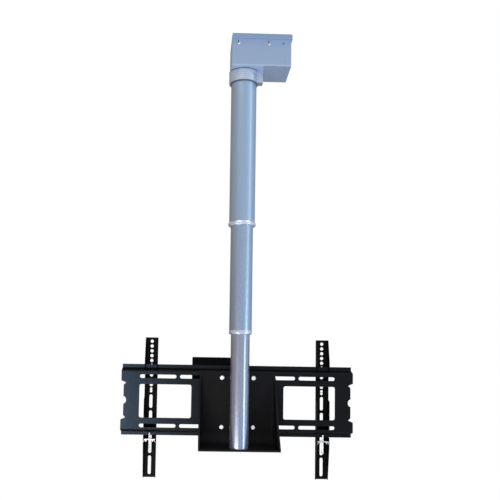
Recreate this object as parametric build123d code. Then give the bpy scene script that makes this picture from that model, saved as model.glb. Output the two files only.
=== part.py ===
from build123d import *
import os

# Motorised telescopic ceiling lift for a television.
# X runs along the wall plate, Y from the pole towards the television, Z up.
# The origin is on the ceiling face, on the axis of the column.
# Rest is the fully lowered position. All sizes are millimetres.

# Fits
seat_clearance = 0.05
running_clearance = 0.08
slide_clearance = 0.15
free_clearance = 0.3

# Ceiling tray, a folded sheet open on its left side
tray_sheet = 3.0
tray_drop = 13.5
tray_left_setback = 1.0
tray_corner = 3.0
ceiling_hole_spacing_x = 150.0
ceiling_hole_spacing_y = 80.0
ceiling_hole_centre_x = 44.0
ceiling_hole_radius = 4.5
dimple_radius = 3.0
dimple_depth = 0.6

# Housing of the drive
housing_left = 40.0
housing_right = 134.0
housing_half_depth = 56.0
housing_bottom = 95.0
housing_wall = 1.5
housing_corner = 3.0
housing_edge_round = 1.2
housing_top_gap = 0.5
housing_screw_xs = (-21.0, 67.5)
housing_screw_z = -27.0
housing_spare_x = 111.0
housing_screw_radius = 2.4
housing_screw_head_radius = 5.2
housing_screw_head_height = 2.6
spare_recess_radius = 3.4
spare_recess_depth = 0.6

# Frame inside the head
frame_sheet = 3.0
frame_plate_thickness = 5.0
frame_plate_bottom = 46.0
frame_plate_right = 52.0
frame_wall_right = 80.0
frame_flange_left = -18.0
frame_flange_width = 20.0
frame_screw_xs = (-6.0, 66.0)
frame_screw_inset = 10.2
frame_bend = 3.0
coupling_hole_radius = 16.0
column_flange_thickness = 6.0
column_flange_margin = 5.0
column_screw_inset_x = 8.0
column_screw_inset_y = 9.0

# Cap screws of the head
cap_screw_radius = 3.0
cap_head_radius = 5.0
cap_head_height = 6.0

# Gearbox and motor
gearbox_top = 10.0
gearbox_base_thickness = 5.0
gearbox_round_spindle = 36.0
gearbox_round_motor = 32.0
gearbox_edge_round = 3.0
motor_x = 85.0
motor_flange_radius = 28.0
motor_flange_thickness = 2.5
motor_radius = 26.0
motor_length = 40.0
motor_cap_radius = 22.0
motor_cap_height = 5.0

# Control board, terminals and cable gland
board_x = 121.5
board_thickness = 1.6
board_half_width = 38.0
board_top = 20.0
board_bottom = 86.0
standoff_radius = 3.0
standoff_inset = 6.0
terminal_width = 32.0
terminal_height = 12.0
terminal_depth = 8.0
gland_x = 104.0
gland_z = -72.0
gland_radius = 9.0
gland_thread_radius = 6.0
gland_bore_radius = 3.2
gland_length = 12.0
gland_inside = 7.0

# Column tubes, outer radius and wall
upper_radius = 38.0
middle_radius = 33.0
lower_radius = 27.75
tube_wall = 2.5
upper_ring_radius = 40.8
upper_ring_top = 549.0
upper_ring_height = 12.4
middle_ring_radius = 34.0
middle_ring_top = 868.0
middle_ring_height = 12.0
ring_lip = 3.0
ring_rim = 0.4
ring_round = 4.2
ring_belly = 0.6
shelf_below_plate = 16.0
stage_stroke = 300.0

# Guides and plugs in the tubes
upper_bush_length = 58.0
middle_bush_length = 38.0
middle_plug_top = 436.0
middle_plug_flange = 14.0
middle_plug_spigot = 28.0
lower_plug_top = 795.0
lower_plug_flange = 12.0
lower_plug_spigot = 23.0

# Spindles, nuts and bearings
drive_spindle_radius = 7.0
drive_spindle_bottom = 491.0
drive_journal_radius = 10.0
coupling_radius = 13.0
coupling_top = 30.5
head_bearing_radius = 23.5
head_bearing_top = 48.0
head_bearing_height = 14.0
carrier_height = 18.0
carrier_screw_pitch_radius = 29.0
carrier_screw_radius = 2.0
carrier_screw_head_radius = 3.8
carrier_screw_length = 14.0
middle_nut_radius = 12.0
middle_nut_flange_radius = 19.0
middle_nut_flange = 6.0
middle_nut_body = 26.0
hollow_spindle_radius = 11.0
hollow_spindle_bore = 7.6
hollow_spindle_bottom = 835.0
hollow_collar_radius = 14.0
hollow_collar_height = 4.7
hollow_ring_radius = 15.0
hollow_ring_height = 2.0
stage_bearing_radius = 21.0
stage_bearing_height = 12.0
ring_pocket_radius = 17.0
ring_pocket_height = 4.0
lower_nut_radius = 15.0
lower_nut_flange_radius = 20.5
lower_nut_flange = 5.0
lower_nut_body = 23.0
nut_screw_radius = 1.6
nut_screw_head_radius = 2.6
nut_screw_head_height = 2.2
nut_screw_length = 10.0

# Clamp collar under the head
collar_radius = 44.5
collar_height = 35.3
collar_edge = 1.5
collar_lug_right = 55.5
collar_lug_front = 21.0
collar_lug_rear = 5.0
collar_slit = 2.0
collar_screw_x = 50.4
collar_screw_radius = 3.0
collar_screw_head_radius = 4.8
collar_screw_length = 22.0

# Shelf bracket between the column and the wall plate
plate_front = 88.0
bracket_sheet = 5.0
bracket_half_width = 118.0
bracket_top_inset = 15.5
bracket_corner = 10.0
bracket_top_corner = 6.0
shelf_front_margin = 5.5
gusset_top_inset = 27.5
gusset_nose = 9.0
gusset_sag = 15.0
shelf_bend = 33.0
bolt_spacing_x = 96.0
bolt_row_inset = 33.65
bolt_drop = 3.0
bolt_radius = 4.0
bolt_head_radius = 7.5
bolt_head_height = 4.6
bolt_socket_flat = 5.0
bolt_socket_depth = 2.6
bolt_end_margin = 3.0
nut_flat = 13.0
nut_height = 6.5
washer_radius = 8.2
washer_thickness = 1.6

# Foot of the column
foot_height = 20.0
foot_screw_pitch_radius = 15.0
foot_screw_radius = 4.0
foot_screw_head_radius = 7.6
foot_screw_length = 20.0

# Wall plate, a folded sheet
plate_sheet = 2.5
plate_half_width = 354.6
plate_top = 975.6
plate_height = 216.3
plate_opening_drop = 2.0
lip_height = 12.0
lip_offset = 24.0
joggle_height = 7.0
plate_bend = 3.0
window_inner = 141.0
window_end_margin = 55.5
window_margin = 57.65
window_corner = 6.0
slot_length = 111.1
slot_width = 11.0
slot_end_margin = 56.3
slot_gap = 11.0
slot_row_inset = 33.75
end_recess_depth = 7.5
end_recess_inset = 55.5
end_notch_depth = 14.5
end_notch_height = 13.5
end_round_depth = 8.0
end_round_height = 22.5

# Receiver box hung behind the plate's upper lip
receiver_left = 140.0
receiver_width = 160.0
receiver_rise = 24.0
receiver_height = 90.0
receiver_thickness = 13.0
receiver_corner = 3.0
pad_thickness = 1.0
pad_width = 30.0
pad_height = 8.0

# Arms for the television
arm_end_margin = 88.1
arm_width = 39.0
arm_sheet = 2.0
arm_rise = 82.6
arm_length = 430.0
arm_bend = 3.0
arm_face = 132.0
arm_end_depth = 10.0
arm_waist_depth = 14.0
arm_belly_depth = 31.0
hook_depth = 30.0
hook_rise = 12.0
hook_nose = 10.0
hook_clearance = 0.6
belly_top_inset = 102.0
belly_bottom_inset = 21.5
belly_slope = 4.0
heel_drop = 27.0
arm_hole_radius = 5.0
arm_hole_first = 12.0
arm_hole_pitch = 15.0
arm_hole_count = 10
arm_slot_width = 9.5
arm_double_hole = (159.5, 167.0)
arm_double_hole_radius = 4.0
arm_slots = ((177.3, 218.7), (226.5, 262.0), (292.0, 357.0), (364.5, 421.4))

# Safety tab and screw under the lower lip
tab_sheet = 2.0
tab_depth = 14.0
tab_drop = 10.3
tab_strip = 2.6
tab_wing = 12.0
tab_shoulder = 5.5
tab_tooth = 9.0
tab_tooth_x = 10.0
tab_tooth_half = 3.0
safety_screw_y = 107.5
safety_screw_radius = 2.5
safety_screw_overlap = 8.5
safety_screw_length = 53.0
safety_head_radius = 3.8
safety_head_height = 3.6

# Worked out from the driving dimensions
upper_bore = upper_radius - tube_wall
middle_bore = middle_radius - tube_wall
lower_bore = lower_radius - tube_wall
upper_ring_bottom = upper_ring_top + upper_ring_height
middle_ring_bottom = middle_ring_top + middle_ring_height
frame_plate_top = frame_plate_bottom - frame_plate_thickness
frame_wall_outer = housing_half_depth - housing_wall - free_clearance
frame_left = housing_left - housing_wall - free_clearance
column_flange_half_x = frame_left
shelf_front = -(lower_radius + shelf_front_margin)
bracket_back = plate_front - bracket_sheet
plate_bottom = plate_top + plate_height
column_end = plate_bottom + shelf_below_plate
shelf_bottom = column_end + bracket_sheet
bracket_top = plate_top + bracket_top_inset
gusset_top = plate_top + gusset_top_inset
receiver_top = plate_top - receiver_rise
plate_middle = plate_top + plate_height / 2
lip_front = plate_front + lip_offset
lip_back = lip_front + plate_sheet
column_flange_half_y = housing_half_depth - column_flange_margin
column_screw_x = column_flange_half_x - column_screw_inset_x
column_screw_y = column_flange_half_y - column_screw_inset_y
frame_screw_y = frame_wall_outer - frame_screw_inset
window_outer = plate_half_width - window_end_margin
window_height = plate_height - 2 * window_margin
slot_outer = plate_half_width - slot_end_margin
slot_row_spacing = plate_height - 2 * slot_row_inset
end_recess_height = plate_height - 2 * end_recess_inset
bolt_spacing_z = plate_height - 2 * bolt_row_inset
bolt_middle = plate_middle + bolt_drop
opening_middle = plate_middle + plate_opening_drop
arm_x = plate_half_width - arm_end_margin
arm_top = plate_top - arm_rise
tab_top = plate_bottom + tab_drop
tab_front = arm_face - hook_depth - tab_sheet
safety_screw_top = plate_bottom - safety_screw_overlap


def block(x0, x1, y0, y1, z0, z1):
    """A cuboid between two corners."""
    size = (abs(x1 - x0), abs(y1 - y0), abs(z1 - z0))
    centre = ((x0 + x1) / 2, (y0 + y1) / 2, (z0 + z1) / 2)
    return Pos(*centre) * Box(*size)


def rod(radius, top, bottom, x=0.0, y=0.0):
    """An upright cylinder between two depths below the ceiling."""
    return Pos(x, y, -(top + bottom) / 2) * Cylinder(radius, bottom - top)


def rod_along_y(radius, y0, y1, x, z):
    """A cylinder along Y."""
    return Pos(x, (y0 + y1) / 2, z) * Rot(90, 0, 0) * Cylinder(radius, abs(y1 - y0))


def ring(outer, inner, top, bottom):
    """An upright ring on the column's axis."""
    return rod(outer, top, bottom) - rod(inner, top - 1, bottom + 1)


def around(count, radius, start=0.0):
    """Places evenly spaced on a circle about the column's axis."""
    return [Rot(0, 0, start + 360 * i / count) * Pos(radius, 0, 0) for i in range(count)]


def corners(dx, dy):
    """The four corners of a rectangle about the origin."""
    return [(sx * dx, sy * dy) for sx in (-1, 1) for sy in (-1, 1)]


def ceiling_tray():
    """Folded tray against the ceiling, flanged at the front, rear and right."""
    half = housing_half_depth + tray_sheet + free_clearance
    left = -housing_left + tray_left_setback
    right = housing_right + tray_sheet + free_clearance
    outer = block(left, right, -half, half, -tray_drop, 0)
    upright = outer.edges().filter_by(Axis.Z).group_by(Axis.X)[-1]
    outer = fillet(upright, tray_corner + tray_sheet)
    inner = block(
        left - 1,
        right - tray_sheet,
        -half + tray_sheet,
        half - tray_sheet,
        -tray_drop - 1,
        -tray_sheet,
    )
    inner = fillet(inner.edges().filter_by(Axis.Z).group_by(Axis.X)[-1], tray_corner)
    tray = outer - inner
    for x, y in corners(ceiling_hole_spacing_x / 2, ceiling_hole_spacing_y / 2):
        tray -= rod(ceiling_hole_radius, -1, tray_sheet + 1, ceiling_hole_centre_x + x, y)
    for x in frame_screw_xs:
        for side in (-1, 1):
            tray -= rod(cap_screw_radius + seat_clearance, -1, tray_sheet + 1, x, side * frame_screw_y)
    for x in housing_screw_xs:
        for side in (-1, 1):
            sink = Sphere(dimple_radius)
            place = side * (half + dimple_radius - dimple_depth)
            tray -= Pos(x, place, -(tray_sheet + tray_drop) / 2) * sink
    return tray


def housing_body():
    """Housing as one piece, open at the top, with the column's hole in its bottom."""
    height = housing_bottom - tray_sheet - housing_top_gap
    length = housing_left + housing_right
    centre_x = (housing_right - housing_left) / 2
    outline = RectangleRounded(length, 2 * housing_half_depth, housing_corner)
    outer = Pos(centre_x, 0, -housing_bottom) * extrude(outline, height)
    outer = fillet(outer.edges().group_by(Axis.Z)[0], housing_edge_round)
    inside = RectangleRounded(
        length - 2 * housing_wall,
        2 * (housing_half_depth - housing_wall),
        housing_corner - housing_wall,
    )
    shell = outer - Pos(centre_x, 0, -housing_bottom + housing_wall) * extrude(inside, height)
    shell -= rod(upper_radius + free_clearance, housing_bottom - 10, housing_bottom + 10)
    for x in housing_screw_xs:
        shell -= rod_along_y(
            housing_screw_radius + free_clearance,
            -housing_half_depth - 1,
            housing_half_depth + 1,
            x,
            housing_screw_z,
        )
    shell -= rod_along_y(
        spare_recess_radius,
        -housing_half_depth - 1,
        -housing_half_depth + spare_recess_depth,
        housing_spare_x,
        housing_screw_z,
    )
    shell -= rod_along_y(gland_thread_radius + seat_clearance, 0, housing_half_depth + 1, gland_x, gland_z)
    return shell


def above_pan():
    """Space above the housing's bottom sheet."""
    return block(
        -housing_left - 1,
        housing_right + 1,
        -housing_half_depth - 1,
        housing_half_depth + 1,
        -housing_bottom + housing_wall,
        0,
    )


def housing_shell():
    """Upright walls of the housing."""
    return housing_body() & above_pan()


def housing_pan():
    """Bottom sheet of the housing, welded to the walls and rounded at its edge."""
    return housing_body() - above_pan()


def pan_screw(length):
    """Pan-head screw along -Z, its head's underside at the origin."""
    head = Pos(0, 0, housing_screw_head_height / 2) * Cylinder(
        housing_screw_head_radius, housing_screw_head_height
    )
    head = fillet(head.edges().group_by(Axis.Z)[-1], housing_screw_head_height * 0.55)
    shank = Pos(0, 0, -length / 2) * Cylinder(housing_screw_radius, length)
    recess = Box(1.2, 5.6, 2.4) + Box(5.6, 1.2, 2.4)
    return head + shank - Pos(0, 0, housing_screw_head_height) * recess


def housing_screws():
    """Two screws in the front of the housing and two in its rear."""
    length = housing_wall + free_clearance + frame_sheet
    screws = []
    for x in housing_screw_xs:
        front = Pos(x, -housing_half_depth, housing_screw_z) * Rot(90, 0, 0)
        rear = Pos(x, housing_half_depth, housing_screw_z) * Rot(-90, 0, 0)
        screws.append(front * pan_screw(length))
        screws.append(rear * pan_screw(length))
    return Compound(screws)


def support_frame():
    """Folded frame under the tray: bottom plate, two walls and top flanges."""
    outer_y = frame_wall_outer
    inner_y = outer_y - frame_sheet
    frame = block(
        -frame_left,
        frame_plate_right,
        -outer_y,
        outer_y,
        -frame_plate_bottom,
        -frame_plate_top,
    )
    for side in (-1, 1):
        frame += block(
            -frame_left,
            frame_wall_right,
            side * inner_y,
            side * outer_y,
            -frame_plate_bottom,
            -tray_sheet,
        )
        frame += block(
            frame_flange_left,
            frame_wall_right,
            side * (outer_y - frame_flange_width),
            side * outer_y,
            -tray_sheet - frame_sheet,
            -tray_sheet,
        )
    folds = frame.edges().filter_by(Axis.X).filter_by(
        lambda e: abs(abs(e.center().Y) - outer_y) < 0.01 and e.center().Z < -frame_plate_top
    )
    frame = fillet(folds, frame_bend)
    frame -= rod(coupling_hole_radius, frame_plate_top - 1, frame_plate_bottom + 1)
    for x, y in corners(column_screw_x, column_screw_y):
        frame -= rod(cap_screw_radius + seat_clearance, frame_plate_top - 1, frame_plate_bottom + 1, x, y)
    for place in around(3, carrier_screw_pitch_radius):
        frame -= place * countersunk_cutter(frame_plate_top, frame_plate_bottom + 1)
    for x in frame_screw_xs:
        for side in (-1, 1):
            frame -= rod(cap_screw_radius + seat_clearance, 0, 10, x, side * frame_screw_y)
    for x in housing_screw_xs:
        frame -= rod_along_y(
            housing_screw_radius + seat_clearance,
            -outer_y - 1,
            outer_y + 1,
            x,
            housing_screw_z,
        )
    return frame


def countersunk_cutter(top, bottom):
    """Hole for a countersunk carrier screw whose head is flush with a top face."""
    rim = carrier_screw_head_radius + seat_clearance
    shank = carrier_screw_radius + seat_clearance
    depth = rim - shank
    cone = Pos(0, 0, -top - depth / 2) * Cone(shank, rim, depth)
    return cone + rod(shank, top, bottom)


def carrier_screws():
    """Three countersunk screws that hold the bearing carrier."""
    depth = carrier_screw_head_radius - carrier_screw_radius
    cone = Pos(0, 0, -frame_plate_top - depth / 2) * Cone(
        carrier_screw_radius, carrier_screw_head_radius, depth
    )
    screw = cone + rod(carrier_screw_radius, frame_plate_top, frame_plate_top + carrier_screw_length)
    return Compound([place * screw for place in around(3, carrier_screw_pitch_radius)])


def cap_screw(length):
    """Socket cap screw along +Z, the underside of its head at the origin."""
    head = Pos(0, 0, -cap_head_height / 2) * Cylinder(cap_head_radius, cap_head_height)
    shank = Pos(0, 0, length / 2) * Cylinder(cap_screw_radius, length)
    socket = extrude(RegularPolygon(cap_screw_radius * 0.85, 6), cap_head_height * 0.5)
    return head + shank - Pos(0, 0, -cap_head_height) * socket


def frame_screws():
    """Four screws from the frame's flanges up into the tray."""
    seat = tray_sheet + frame_sheet
    screws = []
    for x in frame_screw_xs:
        for side in (-1, 1):
            screws.append(Pos(x, side * frame_screw_y, -seat) * cap_screw(seat - 0.4))
    return Compound(screws)


def column_screws():
    """Four screws through the column's flange and the frame into the gearbox."""
    seat = frame_plate_bottom + column_flange_thickness
    length = seat - frame_plate_top + gearbox_base_thickness - 1
    screws = []
    for x, y in corners(column_screw_x, column_screw_y):
        screws.append(Pos(x, y, -seat) * cap_screw(length))
    return Compound(screws)


def gearbox():
    """Closed gear casting, its output over the spindle and its input at the motor."""
    circles = Sketch() + [Circle(gearbox_round_spindle), Pos(motor_x, 0) * Circle(gearbox_round_motor)]
    outline = make_hull(circles.edges())
    height = frame_plate_top - gearbox_top
    body = Pos(0, 0, -frame_plate_top) * extrude(outline, height)
    body = fillet(body.edges().group_by(Axis.Z)[-1], gearbox_edge_round)
    base = RectangleRounded(2 * column_flange_half_x, 2 * column_flange_half_y - 1, 6)
    base_top = frame_plate_top - gearbox_base_thickness
    body += Pos(0, 0, -frame_plate_top) * extrude(base, gearbox_base_thickness)
    recess = coupling_top - 1.5
    body -= rod(coupling_radius + 1, recess, frame_plate_top + 1)
    for x, y in corners(column_screw_x, column_screw_y):
        body -= rod(cap_screw_radius + seat_clearance, base_top - 1, frame_plate_top + 1, x, y)
    return body


def drive_motor():
    """Sealed motor hung under the gearbox."""
    top = frame_plate_top
    flange = rod(motor_flange_radius, top, top + motor_flange_thickness, motor_x)
    can = rod(motor_radius, top, top + motor_flange_thickness + motor_length, motor_x)
    can = fillet(can.edges().group_by(Axis.Z)[0], 3)
    return flange + can


def motor_end_cap():
    """Plastic cap on the motor's lower end."""
    top = frame_plate_top + motor_flange_thickness + motor_length
    cap = rod(motor_cap_radius, top, top + motor_cap_height, motor_x)
    return chamfer(cap.edges().group_by(Axis.Z)[0], 1.5)


def control_board():
    """Circuit board with its relays and capacitor."""
    board = block(
        board_x,
        board_x + board_thickness,
        -board_half_width,
        board_half_width,
        -board_bottom,
        -board_top,
    )
    depth = 7.0
    for y in (-22.0, -6.0):
        board += block(board_x - depth, board_x, y - 6, y + 6, -64, -48)
    board += Pos(board_x - depth / 2, 16, -56) * Rot(0, 90, 0) * Cylinder(6, depth)
    return board


def terminal_block():
    """Row of terminals at the foot of the board."""
    body = block(
        board_x - terminal_depth,
        board_x,
        -terminal_width / 2,
        terminal_width / 2,
        -board_bottom + 4,
        -board_bottom + 4 + terminal_height,
    )
    for i in range(4):
        y = -terminal_width / 2 + terminal_width * (i + 0.5) / 4
        mouth = Pos(board_x - terminal_depth, y, -board_bottom + 4 + terminal_height / 2)
        body -= mouth * Rot(0, 90, 0) * Cylinder(2, 6)
    return body


def board_standoffs():
    """Four pillars between the board and the housing's right wall."""
    start = board_x + board_thickness
    end = housing_right - housing_wall
    pillar = Rot(0, 90, 0) * Cylinder(standoff_radius, end - start)
    pillars = []
    for sy in (-1, 1):
        for z in (-board_top - standoff_inset, -board_bottom + standoff_inset):
            y = sy * (board_half_width - standoff_inset)
            pillars.append(Pos((start + end) / 2, y, z) * pillar)
    return Compound(pillars)


def cable_gland():
    """Cable gland in the rear of the housing, where the supply enters."""
    start = housing_half_depth
    body = rod_along_y(gland_radius, start, start + gland_length, gland_x, gland_z)
    body = fillet(body.edges().group_by(Axis.Y)[-1], 3)
    body += rod_along_y(gland_thread_radius, start - gland_inside, start + 1, gland_x, gland_z)
    return body - rod_along_y(gland_bore_radius, start - 20, start + 30, gland_x, gland_z)


def top_collar():
    """Split clamp collar on the upper tube, with one lug on its right."""
    top = housing_bottom
    bottom = top + collar_height
    body = rod(collar_radius, top, bottom)
    body = chamfer(body.edges().group_by(Axis.Z)[0], collar_edge)
    lug = block(0, collar_lug_right, -collar_lug_front, collar_lug_rear, -bottom, -top)
    lug = fillet(lug.edges().filter_by(Axis.Z).group_by(Axis.X)[-1], 2)
    body += chamfer(lug.edges().group_by(Axis.Z)[0].sort_by(Axis.X)[-1], collar_edge / 2)
    body -= rod(upper_radius + seat_clearance, top - 1, bottom + 1)
    slit_y = (collar_lug_rear - collar_lug_front) / 2
    body -= block(
        0,
        collar_lug_right + 1,
        slit_y - collar_slit / 2,
        slit_y + collar_slit / 2,
        -bottom - 1,
        -top + 1,
    )
    middle = -(top + bottom) / 2
    end = collar_lug_rear - collar_screw_length - 0.5
    body -= rod_along_y(
        collar_screw_radius + seat_clearance,
        end,
        collar_lug_rear + 1,
        collar_screw_x,
        middle,
    )
    return body


def collar_screw():
    """Cap screw that draws the collar's lug together, its head at the rear."""
    middle = -housing_bottom - collar_height / 2
    seat = collar_lug_rear
    head = rod_along_y(
        collar_screw_head_radius,
        seat,
        seat + 2 * collar_screw_radius,
        collar_screw_x,
        middle,
    )
    shank = rod_along_y(collar_screw_radius, seat - collar_screw_length, seat, collar_screw_x, middle)
    return head + shank


def upper_tube():
    """Fixed tube with the flange welded on its top."""
    top = frame_plate_bottom
    flange = RectangleRounded(2 * column_flange_half_x, 2 * column_flange_half_y, 6)
    body = Pos(0, 0, -top - column_flange_thickness) * extrude(flange, column_flange_thickness)
    body += rod(upper_radius, top, upper_ring_bottom - ring_lip)
    body -= rod(upper_bore, top - 1, upper_ring_bottom)
    for x, y in corners(column_screw_x, column_screw_y):
        body -= rod(cap_screw_radius + seat_clearance, top - 1, top + 10, x, y)
    return body


def end_ring(outer, seat, passage, top, height):
    """Polished bead over a tube's lower end, flared from its rim and rounded below."""
    bottom = top + height
    belly = top + ring_belly * height
    rim = seat + seat_clearance + ring_rim
    foot = outer - ring_round
    flare = ThreePointArc(
        (rim, -top),
        (outer - (outer - rim) / 4, -(top + belly) / 2),
        (outer, -belly),
    )
    bend = ThreePointArc(
        (outer, -belly),
        (foot + 0.707 * ring_round, -belly - 0.707 * (bottom - belly)),
        (foot, -bottom),
    )
    inside = Polyline(
        (foot, -bottom),
        (passage + free_clearance, -bottom),
        (passage + free_clearance, -bottom + ring_lip),
        (seat + seat_clearance, -bottom + ring_lip),
        (seat + seat_clearance, -top),
        (rim, -top),
    )
    section = make_face([flare, bend, inside])
    return revolve(Plane.XZ * section, Axis.Z)


def head_bearing_carrier():
    """Turned carrier in the top of the upper tube, for the spindle's bearing."""
    top = frame_plate_bottom
    bottom = top + carrier_height
    body = rod(upper_bore - seat_clearance, top, bottom)
    body -= rod(head_bearing_radius + seat_clearance, top - 1, head_bearing_top + head_bearing_height)
    body -= rod(head_bearing_radius - 4, top - 1, bottom + 1)
    for place in around(3, carrier_screw_pitch_radius):
        body -= place * rod(carrier_screw_radius + seat_clearance, top - 1, bottom - 2)
    return body


def sealed_bearing(outer, bore, top, height):
    """Sealed ball bearing, drawn as one ring with its shield grooves."""
    body = ring(outer, bore, top, top + height)
    wide = bore + (outer - bore) * 0.72
    narrow = bore + (outer - bore) * 0.3
    body -= ring(wide, narrow, top - 1, top + 0.6)
    return body - ring(wide, narrow, top + height - 0.6, top + height + 1)


def drive_spindle():
    """Screw spindle that hangs in the head's bearing."""
    body = rod(drive_spindle_radius, coupling_top + 1, drive_spindle_bottom)
    body = chamfer(body.edges().group_by(Axis.Z)[0], 1.5)
    seat = head_bearing_top - free_clearance
    return body + rod(drive_journal_radius, seat, head_bearing_top + head_bearing_height + 4)


def spindle_coupling():
    """Sleeve that drives the spindle and carries its weight on the bearing."""
    body = ring(
        coupling_radius,
        drive_spindle_radius + seat_clearance,
        coupling_top,
        head_bearing_top - free_clearance,
    )
    for angle in (0, 90):
        body -= Pos(0, 0, -coupling_top) * Rot(0, 0, angle) * Box(4 * coupling_radius, 4, 6)
    return body


def flanged_nut(radius, flange_radius, bore, top, flange, body_length, screw_ring):
    """Bronze nut with its flange on top and four screw holes."""
    nut = rod(flange_radius, top, top + flange) + rod(radius, top, top + flange + body_length)
    nut -= rod(bore, top - 1, top + flange + body_length + 1)
    for place in around(4, screw_ring, 45):
        nut -= place * rod(nut_screw_radius + seat_clearance, top - 1, top + flange + 1)
    return nut


def nut_screws(top, screw_ring):
    """Four small screws that hold a nut's flange."""
    screw = rod(nut_screw_head_radius, top - nut_screw_head_height, top)
    screw += rod(nut_screw_radius, top, top + nut_screw_length)
    return Compound([place * screw for place in around(4, screw_ring, 45)])


middle_nut_top = middle_plug_top - middle_nut_flange
middle_nut_screw_ring = (middle_nut_radius + middle_nut_flange_radius) / 2
lower_nut_top = lower_plug_top - lower_nut_flange
lower_nut_screw_ring = (lower_nut_radius + lower_nut_flange_radius) / 2
middle_plug_bottom = middle_plug_top + middle_plug_flange + middle_plug_spigot
stage_bearing_top = middle_plug_bottom - stage_bearing_height


def middle_top_plug():
    """Plug in the top of the middle tube, its flange guided by the upper tube."""
    body = rod(upper_bore - slide_clearance, middle_plug_top, middle_plug_top + middle_plug_flange)
    body = chamfer(body.edges().group_by(Axis.Z)[-1], 1.5)
    body += rod(middle_bore - seat_clearance, middle_plug_top + 1, middle_plug_bottom)
    body -= rod(middle_nut_radius + seat_clearance, middle_plug_top - 1, middle_plug_bottom + 1)
    body -= rod(ring_pocket_radius, stage_bearing_top - ring_pocket_height, middle_plug_bottom + 1)
    body -= rod(stage_bearing_radius + seat_clearance, stage_bearing_top, middle_plug_bottom + 1)
    for place in around(4, middle_nut_screw_ring, 45):
        body -= place * rod(
            nut_screw_radius + seat_clearance,
            middle_plug_top - 1,
            middle_nut_top + nut_screw_length + 1,
        )
    return body


def lower_top_plug():
    """Plug in the top of the lower tube, its flange guided by the middle tube."""
    bottom = lower_plug_top + lower_plug_flange + lower_plug_spigot
    body = rod(middle_bore - slide_clearance, lower_plug_top, lower_plug_top + lower_plug_flange)
    body = chamfer(body.edges().group_by(Axis.Z)[-1], 1.5)
    body += rod(lower_bore - seat_clearance, lower_plug_top + 1, bottom)
    body -= rod(lower_nut_radius + seat_clearance, lower_plug_top - 1, bottom + 1)
    for place in around(4, lower_nut_screw_ring, 45):
        body -= place * rod(
            nut_screw_radius + seat_clearance,
            lower_plug_top - 1,
            lower_nut_top + nut_screw_length + 1,
        )
    return body


def hollow_spindle():
    """Hollow screw that the drive spindle turns and slides in."""
    top = stage_bearing_top - ring_pocket_height + 1.5
    body = rod(hollow_spindle_radius, top, hollow_spindle_bottom)
    collar_top = middle_plug_bottom + free_clearance
    body += rod(hollow_collar_radius, collar_top, collar_top + hollow_collar_height)
    return body - rod(hollow_spindle_bore, top - 1, hollow_spindle_bottom + 1)


def hollow_spindle_ring():
    """Retaining ring that hangs the hollow spindle on its bearing."""
    bottom = stage_bearing_top - free_clearance
    return ring(
        hollow_ring_radius,
        hollow_spindle_radius + seat_clearance,
        bottom - hollow_ring_height,
        bottom,
    )


def column_foot():
    """Steel plug in the lower tube's end, screwed to the shelf."""
    body = rod(lower_bore - seat_clearance, column_end - foot_height, column_end)
    for place in around(3, foot_screw_pitch_radius, 90):
        body -= place * rod(foot_screw_radius + seat_clearance, column_end - foot_height + 3, column_end + 1)
    return body


def foot_screws():
    """Three countersunk screws from under the shelf."""
    depth = foot_screw_head_radius - foot_screw_radius
    cone = Pos(0, 0, -shelf_bottom + depth / 2) * Cone(foot_screw_head_radius, foot_screw_radius, depth)
    screw = cone + rod(foot_screw_radius, shelf_bottom - foot_screw_length, shelf_bottom)
    return Compound([place * screw for place in around(3, foot_screw_pitch_radius, 90)])


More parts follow.
